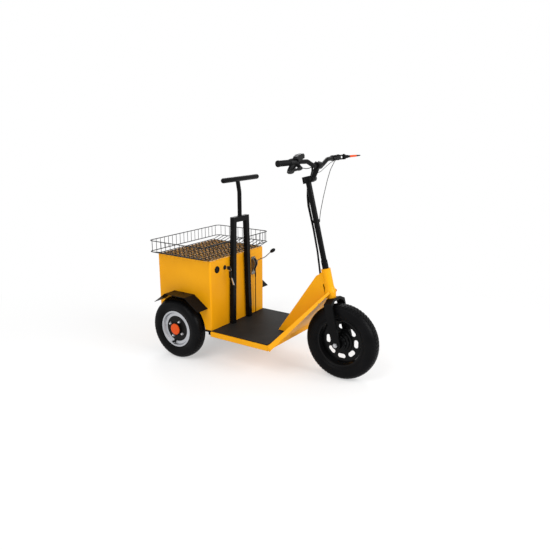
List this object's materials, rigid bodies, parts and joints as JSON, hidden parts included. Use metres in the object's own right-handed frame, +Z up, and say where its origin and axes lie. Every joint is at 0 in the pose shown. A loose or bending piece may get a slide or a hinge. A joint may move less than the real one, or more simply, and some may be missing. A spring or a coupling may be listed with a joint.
{
  "type": "electric tow tractor",
  "caption": "Stand-on electric tow tractor: raked steering column over a large front wheel, low deck with a rubber mat, rear box body with wire basket, lean bar, hand brake and tow hitch.",
  "frame": {"origin": "on the ground under the middle of the bounding box", "axes": "+X forward, +Y to the rider's left, +Z up"},
  "size_m": [1.3399, 0.67, 1.1819],
  "materials": {
    "yellow_paint": "gloss",
    "black_paint": "satin",
    "black_wire": "satin",
    "silver_paint": "satin",
    "zinc_steel": "satin",
    "dark_iron": "matte",
    "motor_alloy": "satin",
    "mat_rubber": "matte",
    "grip_rubber": "matte",
    "tyre_rubber": "matte",
    "black_plastic": "satin",
    "orange_plastic": "gloss",
    "battery_case": "matte"
  },
  "bodies": {
    "chassis": {"deck_tray": "yellow_paint", "deck_mat": "mat_rubber", "riser_plate": "yellow_paint", "neck_gusset": "yellow_paint", "head_tube": "yellow_paint", "chassis_frame": "black_paint", "body_box": "yellow_paint", "box_lid": "yellow_paint", "battery_pack": "battery_case", "mudguards": "black_paint", "basket_floor": "black_wire", "basket_ends": "black_wire", "basket_sides": "black_wire", "basket_corners": "black_wire", "support_frame": "black_paint", "lean_bar": "black_paint", "charge_socket": "black_plastic", "key_switch": "black_plastic", "brake_bracket": "zinc_steel", "hand_brake": "zinc_steel", "brake_rod": "black_paint", "rear_axle": "dark_iron", "drive_motor": "motor_alloy", "tow_hitch": "black_paint"},
    "steering": {"fork": "black_paint", "column": "black_paint", "stem": "black_paint", "handlebar": "black_paint", "grips": "grip_rubber", "throttle": "black_plastic", "display": "black_plastic", "brake_levers": "black_paint", "cable_loom": "grip_rubber", "left_cable": "grip_rubber", "front_axle": "zinc_steel"},
    "front_wheel": {"front_tyre": "tyre_rubber", "front_rim": "black_paint"},
    "rear_wheel_right": {"rear_tyre_right": "tyre_rubber", "rear_rim_right": "silver_paint", "rear_hub_right": "dark_iron", "hub_cap_right": "orange_plastic"},
    "rear_wheel_left": {"rear_tyre_left": "tyre_rubber", "rear_rim_left": "silver_paint", "rear_hub_left": "dark_iron", "hub_cap_left": "orange_plastic"}
  },
  "joints": [
    {"name": "steer", "type": "hinge", "parent": "chassis", "child": "steering", "pos_m": [0.3553, 0, 0.5857], "axis": [-0.2462, 0, 0.9692], "range_deg": [-40, 40], "deforming": ["cable_loom"]},
    {"name": "front_roll", "type": "hinge", "parent": "steering", "child": "front_wheel", "pos_m": [0.465, 0, 0.205], "axis": [0, 1, 0], "continuous": true},
    {"name": "rear_roll_right", "type": "hinge", "parent": "chassis", "child": "rear_wheel_right", "pos_m": [-0.454, -0.262, 0.175], "axis": [0, 1, 0], "continuous": true},
    {"name": "rear_roll_left", "type": "hinge", "parent": "chassis", "child": "rear_wheel_left", "pos_m": [-0.454, 0.262, 0.175], "axis": [0, 1, 0], "continuous": true}
  ]
}
